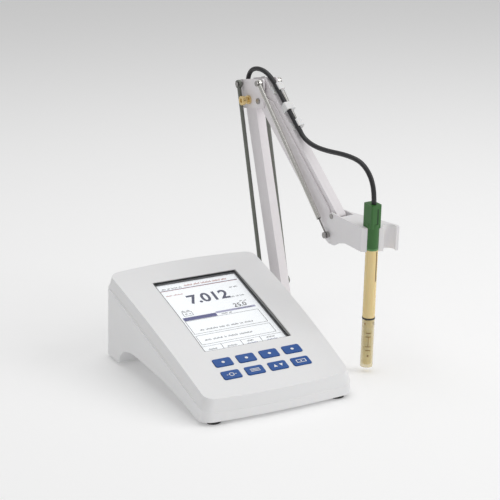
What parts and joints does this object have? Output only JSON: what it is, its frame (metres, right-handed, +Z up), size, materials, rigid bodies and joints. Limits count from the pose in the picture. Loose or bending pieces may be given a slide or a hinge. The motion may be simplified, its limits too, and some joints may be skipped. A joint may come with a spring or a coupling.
{
  "type": "benchtop ph meter with electrode arm",
  "caption": "Sloping desktop electrochemistry meter with graphic display, keypad, swivelling spring-balanced electrode arm, probe and coiled cable.",
  "frame": {"origin": "bottom centre of the object's box at rest, its cable left out, on the bench", "axes": "+Z up, +X to the meter's right hand side, +Y to its rear"},
  "size_m": [0.225, 0.3174, 0.2682],
  "materials": {
    "arm_grey": "turned dark grey moulding",
    "arm_paint": "light grey powder coat on folded steel",
    "bezel_black": "matt black moulded plastic",
    "board_green": "solder-masked circuit board",
    "brass": "turned brass",
    "cap_green": "moulded green probe cap",
    "chip_black": "moulded component bodies",
    "clip_white": "moulded white cable clips",
    "cord_black": "black flexible cable jacket",
    "electrode_metal": "bright metal rings",
    "head_white": "moulded white holder",
    "key_blue": "blue moulded key caps",
    "lcd_frame": "stamped steel frame",
    "nylon_white": "natural nylon",
    "panel_grey": "dark moulded connector panel",
    "plate_steel": "plated steel sheet and peg",
    "plated_steel": "nickel plated shell",
    "plug_black": "overmoulded plug",
    "probe_amber": "translucent amber moulded resin",
    "rocker_black": "smooth black rocker",
    "rod_steel": "drawn steel rod and tube",
    "rubber_black": "matt moulded rubber",
    "screw_steel": "plated steel",
    "seal_black": "rubber ring",
    "shell_white": "fine textured moulded housing, warm light grey-white",
    "silicone_grey": "moulded silicone mat",
    "window_clear": "clear hard-coated window"
  },
  "bodies": {
    "console": {"upper_shell": "shell_white", "lower_shell": "shell_white", "rubber_feet": "rubber_black", "case_screws": "screw_steel", "display_window": "window_clear", "display_bezel": "bezel_black", "display_module": "lcd_frame", "key_mat": "silicone_grey", "keypad_board": "board_green", "main_board": "board_green", "board_parts": "chip_black", "rear_panel": "panel_grey", "switch_housing": "bezel_black", "power_inlet": "bezel_black", "serial_port": "plated_steel", "usb_port": "plated_steel", "din_socket": "plated_steel", "peg_plate": "plate_steel", "peg": "plate_steel", "foot_washer": "nylon_white", "din_plug": "plug_black", "cord_bench": "cord_black", "cord_coil": "cord_black", "cord_plug": "cord_black"},
    "arm_foot": {"arm_foot": "arm_grey", "fork_plates": "arm_paint", "foot_pins": "screw_steel", "cable_guide": "clip_white", "cord_foot": "cord_black"},
    "lower_arm": {"lower_channel": "arm_paint", "cord_post": "cord_black"},
    "rear_rods": {"rear_rods": "rod_steel"},
    "elbow": {"elbow_plates": "arm_paint", "elbow_pins": "screw_steel"},
    "forearm_upper": {"forearm_upper": "arm_paint", "cable_clips": "clip_white", "cord_clips": "cord_black", "cord_elbow": "cord_black"},
    "forearm_lower": {"forearm_lower": "arm_paint"},
    "head": {"holder_head": "head_white", "head_pins": "screw_steel", "probe_cap": "cap_green", "probe_body": "probe_amber", "probe_sleeve": "probe_amber", "probe_seal": "seal_black", "probe_rings": "electrode_metal", "cord_probe": "cord_black"},
    "spring_cases": {"spring_cases": "plated_steel"},
    "spring_rods": {"spring_rods": "screw_steel"},
    "knob_left": {"knob_left": "brass"},
    "knob_right": {"knob_right": "brass"},
    "power_rocker": {"power_rocker": "rocker_black"},
    "key_1": {"key_1": "key_blue"},
    "key_2": {"key_2": "key_blue"},
    "key_3": {"key_3": "key_blue"},
    "key_4": {"key_4": "key_blue"},
    "key_5": {"key_5": "key_blue"},
    "key_6": {"key_6": "key_blue"},
    "key_7": {"key_7": "key_blue"},
    "key_8": {"key_8": "key_blue"}
  },
  "joints": [
    {"name": "arm_swivel", "type": "hinge", "parent": "console", "child": "arm_foot", "pos_m": [0.06957, 0.07612, 0.004], "axis": [0, 0, 1], "range_deg": [-8, 30], "deforming": ["cord_bench"]},
    {"name": "lower_arm_pitch", "type": "hinge", "parent": "arm_foot", "child": "lower_arm", "pos_m": [0.06983, 0.07353, 0.0344], "axis": [0.995, 0.1002, 0], "range_deg": [-5, 20], "deforming": ["cord_foot"]},
    {"name": "rear_rods_pitch", "type": "hinge", "parent": "arm_foot", "child": "rear_rods", "pos_m": [0.06853, 0.08637, 0.0486], "axis": [0.995, 0.1002, 0], "range_deg": [-5, 20]},
    {"name": "elbow_level", "type": "hinge", "parent": "lower_arm", "child": "elbow", "pos_m": [0.0663, 0.10855, 0.2352], "axis": [0.995, 0.1002, 0], "range_deg": [-20, 5], "deforming": ["cord_post"]},
    {"name": "forearm_pitch", "type": "hinge", "parent": "elbow", "child": "forearm_upper", "pos_m": [0.06859, 0.08587, 0.255], "axis": [0.995, 0.1002, 0], "range_deg": [-40, 1.5], "deforming": ["cord_elbow"]},
    {"name": "forearm_link_pitch", "type": "hinge", "parent": "elbow", "child": "forearm_lower", "pos_m": [0.06802, 0.09144, 0.2361], "axis": [0.995, 0.1002, 0], "range_deg": [-40, 1.5]},
    {"name": "head_level", "type": "hinge", "parent": "forearm_upper", "child": "head", "pos_m": [0.08049, -0.03233, 0.145], "axis": [0.995, 0.1002, 0], "range_deg": [-1.5, 40], "deforming": ["cord_probe"]},
    {"name": "spring_case_pitch", "type": "hinge", "parent": "elbow", "child": "spring_cases", "pos_m": [0.06859, 0.08587, 0.255], "axis": [0.995, 0.1002, 0], "range_deg": [-38.6, 1.45]},
    {"name": "spring_rod_pitch", "type": "hinge", "parent": "head", "child": "spring_rods", "pos_m": [0.07993, -0.02676, 0.1261], "axis": [0.995, 0.1002, 0], "range_deg": [-38.6, 1.45]},
    {"name": "tension_knob_left", "type": "hinge", "parent": "elbow", "child": "knob_left", "pos_m": [0.0663, 0.10855, 0.2352], "axis": [0.995, 0.1002, 0], "range_deg": [0, 180]},
    {"name": "tension_knob_right", "type": "hinge", "parent": "elbow", "child": "knob_right", "pos_m": [0.0663, 0.10855, 0.2352], "axis": [0.995, 0.1002, 0], "range_deg": [0, 180]},
    {"name": "power_rocker_tilt", "type": "hinge", "parent": "console", "child": "power_rocker", "pos_m": [-0.08193, 0.09462, 0.045], "axis": [1, 0, 0], "range_deg": [0, 18]},
    {"name": "key_1_press", "type": "slide", "parent": "console", "child": "key_1", "axis": [0, 0.2835, -0.959], "range_m": [0, 0.0008], "stiffness_N_per_m": 400, "springref_m": -0.0003},
    {"name": "key_2_press", "type": "slide", "parent": "console", "child": "key_2", "axis": [0, 0.2835, -0.959], "range_m": [0, 0.0008], "stiffness_N_per_m": 400, "springref_m": -0.0003},
    {"name": "key_3_press", "type": "slide", "parent": "console", "child": "key_3", "axis": [0, 0.2835, -0.959], "range_m": [0, 0.0008], "stiffness_N_per_m": 400, "springref_m": -0.0003},
    {"name": "key_4_press", "type": "slide", "parent": "console", "child": "key_4", "axis": [0, 0.2835, -0.959], "range_m": [0, 0.0008], "stiffness_N_per_m": 400, "springref_m": -0.0003},
    {"name": "key_5_press", "type": "slide", "parent": "console", "child": "key_5", "axis": [0, 0.2835, -0.959], "range_m": [0, 0.0008], "stiffness_N_per_m": 400, "springref_m": -0.0003},
    {"name": "key_6_press", "type": "slide", "parent": "console", "child": "key_6", "axis": [0, 0.2835, -0.959], "range_m": [0, 0.0008], "stiffness_N_per_m": 400, "springref_m": -0.0003},
    {"name": "key_7_press", "type": "slide", "parent": "console", "child": "key_7", "axis": [0, 0.2835, -0.959], "range_m": [0, 0.0008], "stiffness_N_per_m": 400, "springref_m": -0.0003},
    {"name": "key_8_press", "type": "slide", "parent": "console", "child": "key_8", "axis": [0, 0.2835, -0.959], "range_m": [0, 0.0008], "stiffness_N_per_m": 400, "springref_m": -0.0003}
  ],
  "couplings": [
    {"joint": "rear_rods_pitch", "follows": "lower_arm_pitch", "ratio": 1},
    {"joint": "elbow_level", "follows": "lower_arm_pitch", "ratio": -1},
    {"joint": "forearm_link_pitch", "follows": "forearm_pitch", "ratio": 1},
    {"joint": "head_level", "follows": "forearm_pitch", "ratio": -1},
    {"joint": "spring_case_pitch", "follows": "forearm_pitch", "ratio": 0.965},
    {"joint": "spring_rod_pitch", "follows": "forearm_pitch", "ratio": 0.965}
  ]
}
